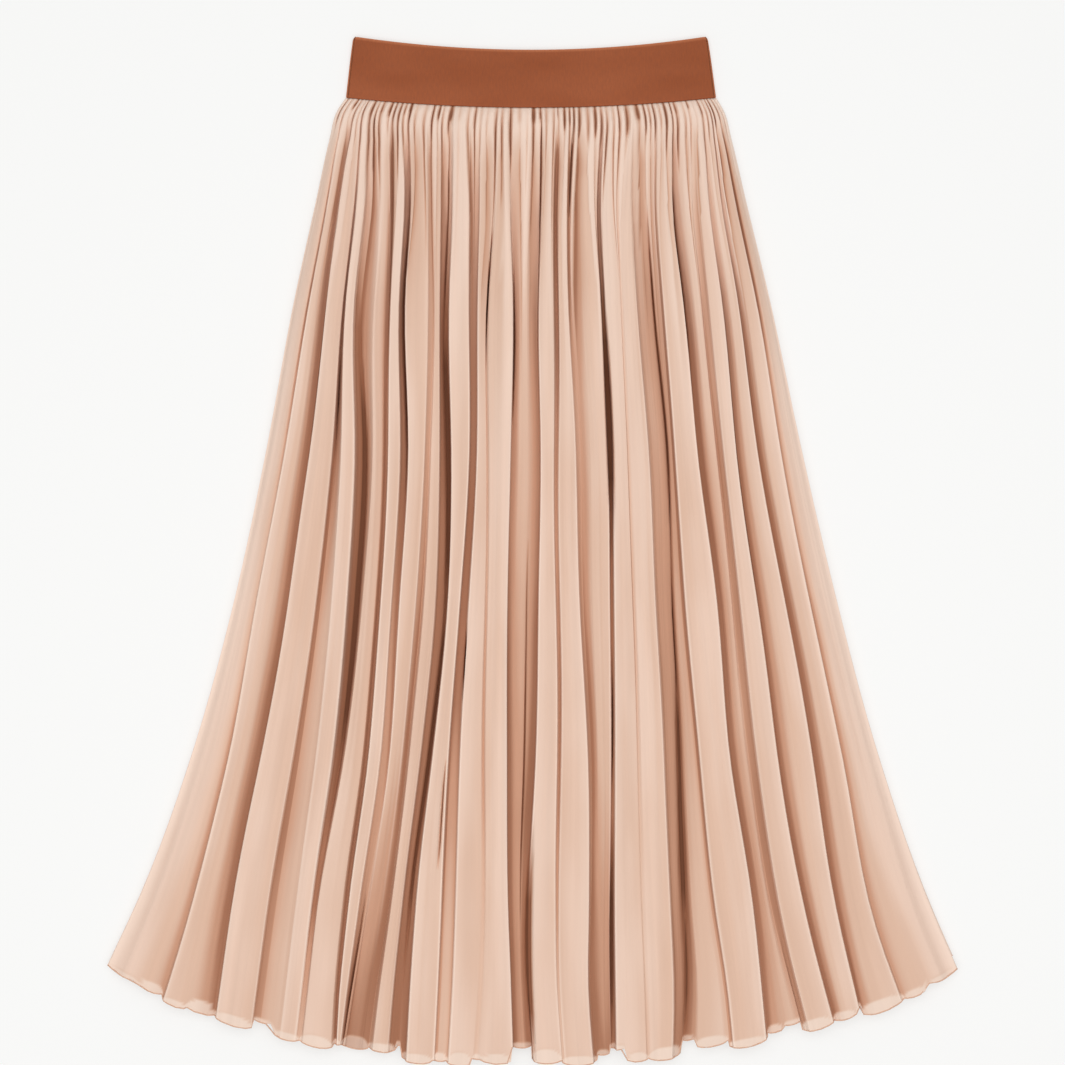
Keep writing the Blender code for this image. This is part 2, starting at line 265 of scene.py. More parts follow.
GAPS = rows_of(
    Gap,
    (2, 1.00, 0.28, 0.37, 2.0), (3, 0.96, 0.20, 0.80, 9.0), (3, 1.00, 0.00, 0.10, 2.0),
    (5, 1.00, 0.08, 0.42, 3.0), (5, 0.90, 0.84, 1.01, 2.4), (7, 1.00, 0.04, 0.26, 2.2),
    (7, 1.04, 0.18, 0.58, 7.0), (7, 1.02, 0.46, 0.94, 5.0), (8, 0.76, 0.70, 0.82, 1.8),
    (9, 0.28, 0.54, 0.62, 1.8), (9, 1.00, 0.14, 0.26, 2.4), (10, 1.03, 0.17, 0.33, 2.6),
    (11, 0.63, 0.46, 0.86, 2.6), (11, 1.05, 0.76, 1.01, 8.0), (11, 1.00, 0.00, 0.14, 2.4),
    (13, 0.93, 0.02, 0.12, 2.0), (14, 1.02, 0.19, 0.47, 9.0), (14, 1.00, 0.59, 0.72, 2.2),
    (14, 1.00, 0.76, 1.00, 5.0), (16, 1.00, 0.10, 0.47, 2.8), (16, 1.05, 0.50, 0.63, 2.4),
    (16, 1.00, 0.60, 0.78, 5.5), (16, 1.00, 0.70, 0.90, 8.5), (16, 1.00, 0.84, 1.01, 5.0),
    (18, 1.00, 0.08, 0.28, 2.4),
)


def srgb(red: int, green: int, blue: int) -> Colour:
    """A linear colour from screen values of 0 to 255."""
    return tuple(((v / 255 + 0.055) / 1.055) ** 2.4 for v in (red, green, blue))


def ramp(value: Array, low: float, high: float) -> Array:
    """Smoothly 0 below low and 1 above high."""
    s = np.clip((value - low) / (high - low), 0, 1)
    return s * s * (3 - 2 * s)


def fades(value: Array, low: float, high: float) -> Array:
    """Smoothly 1 below low and 0 above high."""
    return 1 - ramp(value, low, high)


def openness(x: Array, z: Array, reach: int = 48, least: float = 0.0004) -> Array:
    """How much of the light from above each point of some sections sees.

    Args:
        x: Row by column places across.
        z: Row by column heights.
        reach: How many columns away the cloth may stand in the light.
        least: Added to each distance, so that none is 0.

    Returns:
        1 in the open, and near 0 at the bottom of a narrow slit.
    """
    seen = np.ones_like(z)
    for way in (1, -1):
        steepest = np.zeros_like(z)
        for step in range(1, reach):
            moved = way * step
            rise = (np.roll(z, moved, axis=1) - z) / (np.abs(np.roll(x, moved, axis=1) - x) + least)
            rise[:, slice(None, step) if way > 0 else slice(-step, None)] = 0
            steepest = np.maximum(steepest, rise)
        seen -= 0.5 * steepest**2 / (1 + steepest**2)
    return seen


def smooth_through(levels: Array, values: Array, at: Array) -> Array:
    """The values at some levels of a smooth curve through a table's column.

    Args:
        levels: The rows' levels, rising.
        values: The column's values at them.
        at: The levels wanted.

    Returns:
        One value for each wanted level.
    """
    slopes = np.gradient(values, levels)
    k = np.clip(np.searchsorted(levels, at) - 1, 0, len(levels) - 2)
    width = levels[k + 1] - levels[k]
    s = (at - levels[k]) / width
    return (
        values[k] * (1 + 2 * s) * (1 - s) ** 2
        + slopes[k] * width * s * (1 - s) ** 2
        + values[k + 1] * s**2 * (3 - 2 * s)
        + slopes[k + 1] * width * s**2 * (s - 1)
    )


def column(table: tuple, name: str) -> Array:
    """One named column of a table."""
    return np.array([getattr(row, name) for row in table], float)


class Grid:
    """A mesh grid whose points are placed by row and column."""

    def __init__(self, wide: int, long: int) -> None:
        """Start a flat grid.

        Args:
            wide: Number of columns of faces.
            long: Number of rows of faces.
        """
        self.wide, self.long = wide, long
        self.bm = bmesh.new()
        bmesh.ops.create_grid(self.bm, x_segments=wide, y_segments=long, size=1.0)

    def points(self) -> Iterator[tuple[bmesh.types.BMVert, int, int]]:
        """Go through the points.

        Yields:
            Each point with its row, 0 at the waist, and its column, 0 on the left.
        """
        for vert in self.bm.verts:
            row, col = (1 - vert.co.y) / 2 * self.long, (vert.co.x + 1) / 2 * self.wide
            yield vert, round(row), round(col)

    def place(self, places: Array, uv: Array, values: dict[str, Array]) -> None:
        """Move the points, and give each its place on the cloth and its values.

        Args:
            places: Row by column array of points.
            uv: Row by column array of places on the cloth, in metres.
            values: Row by column array for each named attribute.
        """
        layers = {name: self.bm.verts.layers.float.new(name) for name in values}
        at = self.bm.verts.layers.float_vector.new("at")
        for vert, row, col in list(self.points()):
            vert.co = places[row, col]
            vert[at] = (*uv[row, col], 0.0)
            for name, layer in layers.items():
                vert[layer] = values[name][row, col]
        chart = self.bm.loops.layers.uv.new("cloth")
        for face in self.bm.faces:
            for loop in face.loops:
                loop[chart].uv = loop.vert[at][:2]

    def to_object(self, name: str, material: Material) -> Object:
        """Finish the grid as an object at the origin.

        Args:
            name: The object's name.
            material: Its finish.

        Returns:
            The new object.
        """
        bmesh.ops.recalc_face_normals(self.bm, faces=self.bm.faces)
        mesh = bpy.data.meshes.new(name)
        self.bm.to_mesh(mesh)
        self.bm.free()
        mesh.materials.append(material)
        mesh.shade_smooth()
        made = bpy.data.objects.new(name, mesh)
        bpy.context.scene.collection.objects.link(made)
        return made


@dataclass(frozen=True)
class Shader:
    """A short way to lay out one material's nodes. A noise's values lie mostly in its usual range."""

    material: Material
    usual: tuple = (0.3, 0.7)
    noise_roughness: float = 0.55

    @classmethod
    def start(cls, name: str) -> "Shader":
        """Start a new material.

        Args:
            name: The material's name.

        Returns:
            The shader, with its Principled node.
        """
        material = bpy.data.materials.new(name)
        material.use_nodes = True
        return cls(material)

    @property
    def tree(self) -> NodeTree:
        """The material's nodes."""
        return self.material.node_tree

    @property
    def principled(self) -> Node:
        """The tree's Principled node."""
        return self.tree.nodes["Principled BSDF"]

    def fill(self, node: Node, values: dict[str, object]) -> Node:
        """Give a node its values.

        Args:
            node: The node.
            values: Its properties, or its inputs' values or sockets, by name with spaces as underscores.

        Returns:
            The node.
        """
        for key, value in values.items():
            name = key.replace("_", " ")
            if name not in node.inputs:
                setattr(node, key, value)
            elif isinstance(value, NodeSocket):
                self.link(value, node.inputs[name])
            else:
                node.inputs[name].default_value = value
        return node

    def node(self, kind: str, **values: object) -> Node:
        """Add a node, by its type without the leading ShaderNode, with its values."""
        return self.fill(self.tree.nodes.new("ShaderNode" + kind), values)

    def finish(self, **values: object) -> Material:
        """Give the Principled node its values, and return the material."""
        self.fill(self.principled, values)
        return self.material

    def link(self, source: NodeSocket, target: NodeSocket) -> None:
        """Join two sockets."""
        self.tree.links.new(source, target)

    def attribute(self, name: str) -> NodeSocket:
        """The value of a mesh attribute."""
        return self.node("Attribute", attribute_name=name).outputs["Fac"]

    def mix(self, factor: NodeSocket, low: object, high: object) -> NodeSocket:
        """Mix two colours.

        Args:
            factor: Socket with the share of high.
            low: A colour, or a socket.
            high: A colour, or a socket.

        Returns:
            The mixed colour's socket.
        """
        made = self.node("Mix", data_type="RGBA")
        self.link(factor, made.inputs[0])
        for value, socket in ((low, made.inputs[6]), (high, made.inputs[7])):
            if isinstance(value, tuple):
                socket.default_value = (*value, 1.0)
            else:
                self.link(value, socket)
        return made.outputs[2]

    def scale(self, factor: NodeSocket, stops: tuple) -> NodeSocket:
        """A scale of colours.

        Args:
            factor: Socket with the place on the scale.
            stops: Each stop's place and colour, rising.

        Returns:
            The colour's socket.
        """
        made = self.node("ValToRGB", Fac=factor)
        made.color_ramp.interpolation = "EASE"
        while len(made.color_ramp.elements) < len(stops):
            made.color_ramp.elements.new(1.0)
        for element, (place, colour) in zip(made.color_ramp.elements, stops):
            element.position, element.color = place, (*colour, 1.0)
        return made.outputs["Color"]

    def spread(self, source: NodeSocket, low: float, high: float) -> NodeSocket:
        """Map a noise's usual range to low..high."""
        usual = {"From_Min": self.usual[0], "From_Max": self.usual[1]}
        return self.node("MapRange", Value=source, To_Min=low, To_Max=high, **usual).outputs["Result"]

    def bump(self, height: NodeSocket, relief: tuple, **under: NodeSocket) -> NodeSocket:
        """A relief of some strength and depth, which may lie on another's Normal."""
        return self.node("Bump", Height=height, Strength=relief[0], Distance=relief[1], **under).outputs[0]

    def noise(self, coordinate: NodeSocket, scale: tuple, detail: float) -> NodeSocket:
        """Make a noise.

        Args:
            coordinate: Its coordinate's socket.
            scale: Repeats in a metre, along each axis.
            detail: Levels of detail.

        Returns:
            The noise's socket.
        """
        stretch = self.node("Mapping", Scale=scale, Vector=coordinate).outputs[0]
        look = {"Scale": 1.0, "Detail": detail, "Roughness": self.noise_roughness}
        return self.node("TexNoise", Vector=stretch, **look).outputs["Fac"]


@dataclass(frozen=True)
class ChiffonFinish:
    """Sheer matte chiffon with painted shade, warm and dark where a point sees little light, and painted
    highlights.

    Each noise has its repeats in a metre, then the range of its tone or the strength and depth of its relief.
    """

    name: str = "crepe_chiffon"
    # Painted shade: colours from the darkest painted shade to the lit face, picked by the open attribute.
    painted_hollow_shade: Colour = srgb(96, 54, 32)
    deep: Colour = srgb(158, 105, 77)
    shaded: Colour = srgb(202, 153, 126)
    turned: Colour = srgb(221, 184, 161)
    face: Colour = srgb(233, 202, 183)
    stops: tuple = (0.0, 0.08, 0.32, 0.64, 0.95)
    # Painted highlight colour for crisp edges, gather crests and side edges; it also tints the sheen.
    rim: Colour = srgb(249, 226, 210)
    single: Colour = srgb(236, 211, 194)
    through: Colour = srgb(221, 183, 158)
    streaks: tuple = (160.0, 2.2, 1.0)
    streak_tone: tuple = (0.955, 1.035)
    streak_relief: tuple = (0.4, 0.0022)
    veil: tuple = (34.0, 4.5, 1.0)
    veil_tone: tuple = (0.82, 1.05)
    crepe: tuple = (2600.0, 2600.0, 1.0)
    crepe_relief: tuple = (0.15, 0.0002)
    roughness: float = 0.82
    uneven: float = 0.06
    sheen: float = 0.12
    sheen_roughness: float = 0.4
    specular: float = 0.25

    def material(self) -> Material:
        """Build the material.

        Returns:
            The chiffon.
        """
        shader = Shader.start(self.name)
        cloth = shader.node("UVMap", uv_map="cloth").outputs["UV"]
        streak, crepe = shader.noise(cloth, self.streaks, 3.0), shader.noise(cloth, self.crepe, 2.0)
        # Painted shade: how much light each point sees, times a soft random veil, picks the colour.
        painted_light_share = shader.node("Math", operation="MULTIPLY", use_clamp=True)
        shader.link(shader.attribute("open"), painted_light_share.inputs[0])
        shader.link(shader.spread(shader.noise(cloth, self.veil, 2.0), *self.veil_tone), painted_light_share.inputs[1])
        depths = (self.painted_hollow_shade, self.deep, self.shaded, self.turned, self.face)
        colour = shader.scale(painted_light_share.outputs[0], tuple(zip(self.stops, depths)))
        # rim mixes in the painted highlight; single and seen_hem mark the sheer hem band.
        for name, other in (("single", self.single), ("seen_hem", self.through), ("rim", self.rim)):
            colour = shader.mix(shader.attribute(name), colour, other)
        tone = shader.spread(streak, *self.streak_tone)
        return shader.finish(
            Base_Color=shader.node("HueSaturation", Value=tone, Color=colour).outputs[0],
            Roughness=shader.spread(crepe, self.roughness - self.uneven, self.roughness + self.uneven),
            Normal=shader.bump(crepe, self.crepe_relief, Normal=shader.bump(streak, self.streak_relief)),
            Sheen_Weight=self.sheen,
            Sheen_Roughness=self.sheen_roughness,
            Sheen_Tint=(*self.rim, 1.0),
            Specular_IOR_Level=self.specular,
        )


@dataclass(frozen=True)
class HemFinish:
    """The rolled hem: the same chiffon, denser because it is turned under twice."""

    name: str = "chiffon_roll"
    colour: Colour = srgb(224, 184, 159)
    turned: Colour = srgb(212, 166, 139)
    grain: tuple = (420.0, 420.0, 420.0)
    relief: tuple = (0.3, 0.0003)
    roughness: float = 0.8

    def material(self) -> Material:
        """Build the material.

        Returns:
            The rolled chiffon.
        """
        shader = Shader.start(self.name)
        grain = shader.noise(shader.node("TexCoord").outputs["Object"], self.grain, 2.0)
        colour = shader.mix(shader.spread(grain, 0.0, 1.0), self.turned, self.colour)
        return shader.finish(Base_Color=colour, Normal=shader.bump(grain, self.relief), Roughness=self.roughness)


@dataclass(frozen=True)
class ElasticFinish:
    """Rust brown brushed elastic: matte, a very fine nap, faint mottling, and a painted highlight along its
    edges.
    """

    name: str = "brushed_elastic"
    colour: Colour = srgb(158, 87, 54)
    dark: Colour = srgb(147, 78, 46)
    # Painted highlight colour along the band's top edge and ends.
    rim: Colour = srgb(198, 122, 84)
    mottle: tuple = (9.0, 30.0, 9.0)
    nap: tuple = (620.0, 150.0, 620.0)
    nap_tone: tuple = (0.93, 1.07)
    nap_relief: tuple = (0.35, 0.0003)
    roughness: float = 0.78
    uneven: float = 0.08
    sheen: float = 0.10
    sheen_roughness: float = 0.5
    specular: float = 0.2

    def material(self) -> Material:
        """Build the material.

        Returns:
            The elastic.
        """
        shader = Shader.start(self.name)
        place = shader.node("TexCoord").outputs["Object"]
        mottle, nap = shader.noise(place, self.mottle, 1.0), shader.noise(place, self.nap, 3.0)
        colour = shader.mix(shader.spread(mottle, 0.0, 1.0), self.dark, self.colour)
        # Painted highlight: lighter along the top edge and the ends.
        colour = shader.mix(shader.attribute("rim"), colour, self.rim)
        tone = shader.spread(nap, *self.nap_tone)
        return shader.finish(
            Base_Color=shader.node("HueSaturation", Value=tone, Color=colour).outputs[0],
            Roughness=shader.spread(nap, self.roughness - self.uneven, self.roughness + self.uneven),
            Normal=shader.bump(nap, self.nap_relief),
            Sheen_Weight=self.sheen,
            Sheen_Roughness=self.sheen_roughness,
            Sheen_Tint=(*self.rim, 1.0),
            Specular_IOR_Level=self.specular,
        )


@dataclass
class Cut:
    """The skirt's sizes as it lies, shared by its pieces, in metres.

    Each lobe of the hem bows by hem_bow, or by bow_share of its width where that is less, and its sheer part is
    lowest at the lobe's ends.
    """

    seam_y: float = 0.442
    seam_sag: float = 0.0100
    hem_y: float = -0.5096
    hem_sag: float = 0.0930
    hem_power: float = 2.2
    seam_gap: float = 0.0003
    hem_bow: float = 0.005
    bow_share: float = 0.11
    bow_level: float = 0.67
    bow_power: float = 2.4
    bow_from: float = 0.80
    sheer_least: float = 0.22
    sheer_power: float = 3.0
    back_shorter: float = 0.012
    cloth: float = 0.0004
    edge: float = 0.026
    track_end: float = 0.94
    track_rounds: int = 5
    sway: float = 0.0012
    sway_pace: tuple = (1.2, 2.8)
    sway_starts: tuple = (0.03, 0.3)
    seed: int = 3

    def half_width(self, down: Array, side: str) -> Array:
        """The skirt's half width on one side, left or right."""
        return MM * smooth_through(column(OUTLINE, "down"), column(OUTLINE, side), down)

    def half_at(self, x: Array, down: Array) -> Array:
        """The skirt's half width on each point's own side."""
        return np.where(x < 0, self.half_width(down, "left"), self.half_width(down, "right"))

    def layer(self, name: str, down: Array) -> Array:
        """A layer's height at some shares of the way down."""
        return MM * np.interp(down, column(LAYERS, "down"), column(LAYERS, name))

    def arcs(self, across: Array) -> tuple[Array, Array]:
        """The y of the seam and of the hem's even curve, at shares of the half width."""
        return self.seam_y + self.seam_sag * across**2, self.hem_y + self.hem_sag * across**self.hem_power

    def borders(self, down: Array) -> Array:
        """Place the valleys between the folds.

        Args:
            down: Shares of the way down.

        Returns:
            A row for each of them: the left edge, each valley and the right edge.
        """
        left, right = self.half_width(down, "left"), self.half_width(down, "right")
        rng = np.random.default_rng(self.seed)
        made = [-left]
        for fold in FOLDS[:-1]:
            share = smooth_through(*self.tracked(MM * np.array(fold.track)), down)
            pace, phase = rng.uniform(*self.sway_pace), rng.uniform(0, 2 * math.pi)
            sway = self.sway * np.sin(2 * math.pi * pace * down + phase) * ramp(down, *self.sway_starts)
            made.append(share * np.where(share < 0, left, right) + sway)
        return np.stack([*made, right], axis=1)

    def tracked(self, track: Array) -> tuple[Array, Array]:
        """Turn a fold's track into shares of the way down and shares of the half width.

        Args:
            track: Its places at the seam, at each of TRACK_Y and at the hem.

        Returns:
            The shares of the way down, rising, and the shares of the half width there.
        """
        heights = np.array([1.0, *TRACK_Y, -1.0])
        down = np.clip((self.seam_y - heights) / (self.seam_y - self.hem_y), 0, 1)
        side = "left" if track[-1] < 0 else "right"
        for _ in range(self.track_rounds):
            seam, hem = self.arcs(np.abs(track) / self.half_width(down, side))
            down = np.clip((seam - heights) / (seam - hem), 0, 1)
        keep = (down < self.track_end) | (np.arange(len(down)) == len(down) - 1)
        return down[keep], (track / self.half_at(track, down))[keep]

    def down_the_skirt(self, x: Array, down: Array, rise: Array) -> Array:
        """The y of cloth points: the sections curve from the band's arc to the hem's.

        Args:
            x: Where the points lie across.
            down: Their share of the way down.
            rise: How far their column's hem ends above the even curve.

        Returns:
            Their y.
        """
        seam, hem = self.arcs(np.minimum(np.abs(x) / self.half_at(x, down), 1.0))
        return seam - self.seam_gap + down * (hem - seam) + rise * ramp(down, self.bow_from, 1.0)

    def lobes(self, x: Array) -> tuple[Array, Array]:
        """The hem's lobes.

        Args:
            x: Where each column meets the hem.

        Returns:
            How far each column's hem rises above the even curve, and the height of its sheer part.
        """
        rights = MM * column(LOBES, "right")
        which = np.minimum(np.searchsorted(rights, x), len(LOBES) - 1)
        lefts = np.concatenate([[-self.half_width(np.ones(1), "left")[0]], rights[:-1]])
        width = (rights - lefts)[which]
        from_middle = np.abs(2 * np.clip((x - lefts[which]) / width, 0, 1) - 1)
        bow = np.minimum(self.hem_bow, self.bow_share * width)
        rise = MM * column(LOBES, "rise")[which] + bow * (self.bow_level - (1 - from_middle**self.bow_power))
        lens = self.sheer_least + (1 - self.sheer_least) * (1 - from_middle**self.sheer_power)
        return rise, MM * column(LOBES, "sheer")[which] * lens


@dataclass(frozen=True)
class Gathers:
    """The small gathers under the band, uneven in width, lean, depth and length.

    Strays and drifts are shares of a gather's width, depths are shares of the gather height, and pairs are mostly
    the stretch of the way down over which something ends or grows. The middle and the sides are told apart in mm.
    """

    stray: float = 0.3
    drift: float = 0.5
    drifted: float = 0.2
    middle: float = 100
    ends: tuple = (0.05, 0.30)
    side_ends: tuple = (0.05, 0.15)
    sides: float = 140
    side_depth: float = 0.82
    least: float = 0.3
    top_depth: float = 0.55
    near_band: tuple = (0.0, 0.05)
    lean: float = 0.9
    low: float = 0.5
    pit: tuple = (0.1, 1.2)
    pit_power: float = 1.5
    pit_ends: tuple = (0.012, 0.07)
    pit_fades: tuple = (0.4, 1.0)
    narrow: tuple = (2.2, 0.9)
    widens: tuple = (0.08, 0.26)
    slit_power: float = 1.15
    slit_fades: tuple = (0.3, 1.0)
    crest: float = 0.8
    crest_grows: tuple = (0.0, 0.07)
    crest_ends: tuple = (0.10, 0.36)

    def slits(self, strip: Strip, rng: np.random.Generator) -> Array:
        """How far the cloth dips between the small gathers, as a share of the gather height.

        Args:
            strip: The fold that the gathers feed.
            rng: Source of the gathers' unevenness.

        Returns:
            Row by column dips, 1 at the bottom of a deep slit.
        """
        count, from_middle, at = strip.fold.gathers, abs(strip.fold.track[0]), strip.down[:, None]
        inner = np.concatenate([[0.0], np.ones(count - 1), [0.0]])
        knots = np.arange(count + 1) + rng.uniform(-self.stray, self.stray, count + 1) * inner
        drift = rng.uniform(-self.drift, self.drift, count + 1) * inner
        moved = [np.sort(knots + drift * min(t / self.drifted, 1.0)) for t in strip.down]
        phase = np.stack([np.interp(strip.even[0] * count, row, np.arange(count + 1)) for row in moved])
        nearest = np.round(phase).astype(int)
        inside = np.minimum(phase.astype(int), count - 1)
        depth = (self.least + (1 - self.least) * rng.uniform(0.0, 1.0, count + 1))[nearest]
        ends = rng.uniform(*(self.ends if from_middle < self.middle else self.side_ends), count + 1)[nearest]
        lean = rng.uniform(-self.lean, self.lean, count)[inside]
        low = (self.low * rng.uniform(0.0, 1.0, count) ** 2)[inside]
        pit = (self.pit[0] + self.pit[1] * rng.uniform(0.0, 1.0, count + 1) ** self.pit_power)[nearest]
        pit = pit * fades(at / rng.uniform(*self.pit_ends, count + 1)[nearest], *self.pit_fades)
        depth = depth * (self.top_depth + (1 - self.top_depth) * ramp(at, *self.near_band))
        narrow = self.narrow[0] + self.narrow[1] * ramp(at, *self.near_band) - ramp(at, *self.widens)
        slit = np.clip(1 - narrow * np.abs(phase - nearest), 0, 1) ** self.slit_power * np.maximum(depth, pit)
        part = phase - inside
        crest = np.clip(np.where(lean > 0, part, 1 - part) * np.abs(lean), 0, 1) + low
        crest = self.crest * crest * fades(at, *self.crest_ends) * ramp(at, *self.crest_grows)
        made = np.maximum(slit * fades(at / ends, *self.slit_fades), crest)
        return made * (self.side_depth if from_middle > self.sides else 1.0)


@dataclass(frozen=True)
class Shading:
    """The painted shade and painted highlights on a panel's cloth, worked out from its form.

    The numbers are shares, and each pair is the stretch of the way down over which one ends or grows.
    """

    top_ends: tuple = (0.08, 0.28)
    first_ends: tuple = (0.015, 0.06)
    # Painted shade in the valleys, on falling faces and in the slits between gathers.
    valley: float = 0.14
    valley_more: float = 0.30
    valley_grows: tuple = (0.15, 0.8)
    fall: float = 0.22
    fall_spared: float = 0.7
    slit: float = 0.78
    slits_end: tuple = (0.18, 0.44)
    # Painted light at the top and the side edges, and a little painted shade further down.
    top_lift: float = 0.14
    low_lift: float = -0.04
    side_lift: float = 0.34
    # The lowest the painted shade goes, lower just under the band.
    darkest: float = 0.16
    first_darker: float = 0.09
    # Painted shade in the deep gaps.
    gap: float = 0.46
    gap_more: float = 0.38
    gap_grows: tuple = (0.06, 0.2)
    # Painted highlights on gather crests near the band, along the turned side edges, and at crisp edges.
    bead_highlights: tuple = ((0.35, (0.15, 0.45)), (0.18, (0.03, 0.16)), (0.20, (0.015, 0.06)))
    bead_power: int = 3
    bead_height: tuple = (1.4, -0.4)
    turned: float = 0.7
    turned_power: float = 1.5
    rim: float = 0.7
    rim_height: tuple = (1.6, -0.3)
    sheer_edge: float = 0.0008
    sheer_height: tuple = (1.0, 0.35)
    seen_hem: float = 0.5
    seen_width: float = 0.0010

    def high(self, height: Array, line: tuple, more: Array | float = 0.0) -> Array:
        """A share that rises with the height along a straight line, from 0 to 1."""
        return np.clip(line[0] * height + line[1] + more, 0, 1)

    def values(self, part: dict[str, Array], seen: Array, turns: tuple[Array, Array],
               above_sheer: Array, front: bool) -> dict[str, Array]:
        """Work out what the chiffon's finish reads: painted light, shade and highlights, and the sheer hem band.

        Args:
            part: The panel's sections.
            seen: How much light each point sees.
            turns: 0 at the side seams and 1 inside, for a broad edge and for the turned edge.
            above_sheer: How far each point lies above the top of the hem's sheer part, in metres.
            front: Whether the panel is the front one.

        Returns:
            Row by column array for each attribute.
        """
        down, height, slit, gap = (part[name] for name in ("down", "height", "slit", "gap"))
        broad, turned = turns
        top, first = fades(down, *self.top_ends), fades(down, *self.first_ends)
        # Painted shade in valleys, on falling faces and in slits; painted light at the top and the sides.
        low = (self.valley + self.valley_more * ramp(down, *self.valley_grows)) * (1 - height) * broad
        low = low + self.fall * part["fall"] * (1 - self.fall_spared * top)
        gathered = (self.slit + (1 - self.slit) * first) * slit * fades(down, *self.slits_end)
        lift = self.top_lift * top + self.low_lift * (1 - top) + self.side_lift * (1 - broad)
        lit = np.clip(seen - low - gathered + lift, self.darkest - self.first_darker * first, 1)
        # Painted highlights on gather crests, along the turned side edges, then at crisp edges.
        light = sum(share * fades(down, *ends) for share, ends in self.bead_highlights)
        painted_highlight = (1 - slit) ** self.bead_power * self.high(height, self.bead_height, top) * light
        painted_highlight = painted_highlight + self.turned * (1 - turned) ** self.turned_power
        rim = np.maximum(self.rim * part["rim"] * self.high(height, self.rim_height), painted_highlight)
        sheer = fades(above_sheer, -self.sheer_edge, self.sheer_edge) * self.high(height, self.sheer_height)
        showing = (1 - gap) * front
        return {
            # open is the painted light share, with painted shade in the gaps; rim is the painted highlight.
            "open": lit * (1 - gap * (self.gap + self.gap_more * ramp(down, *self.gap_grows))),
            "rim": rim * (1 - gap),
            "single": sheer * showing,
            "seen_hem": self.seen_hem * np.exp(-((above_sheer / self.seen_width) ** 2)) * showing,
        }


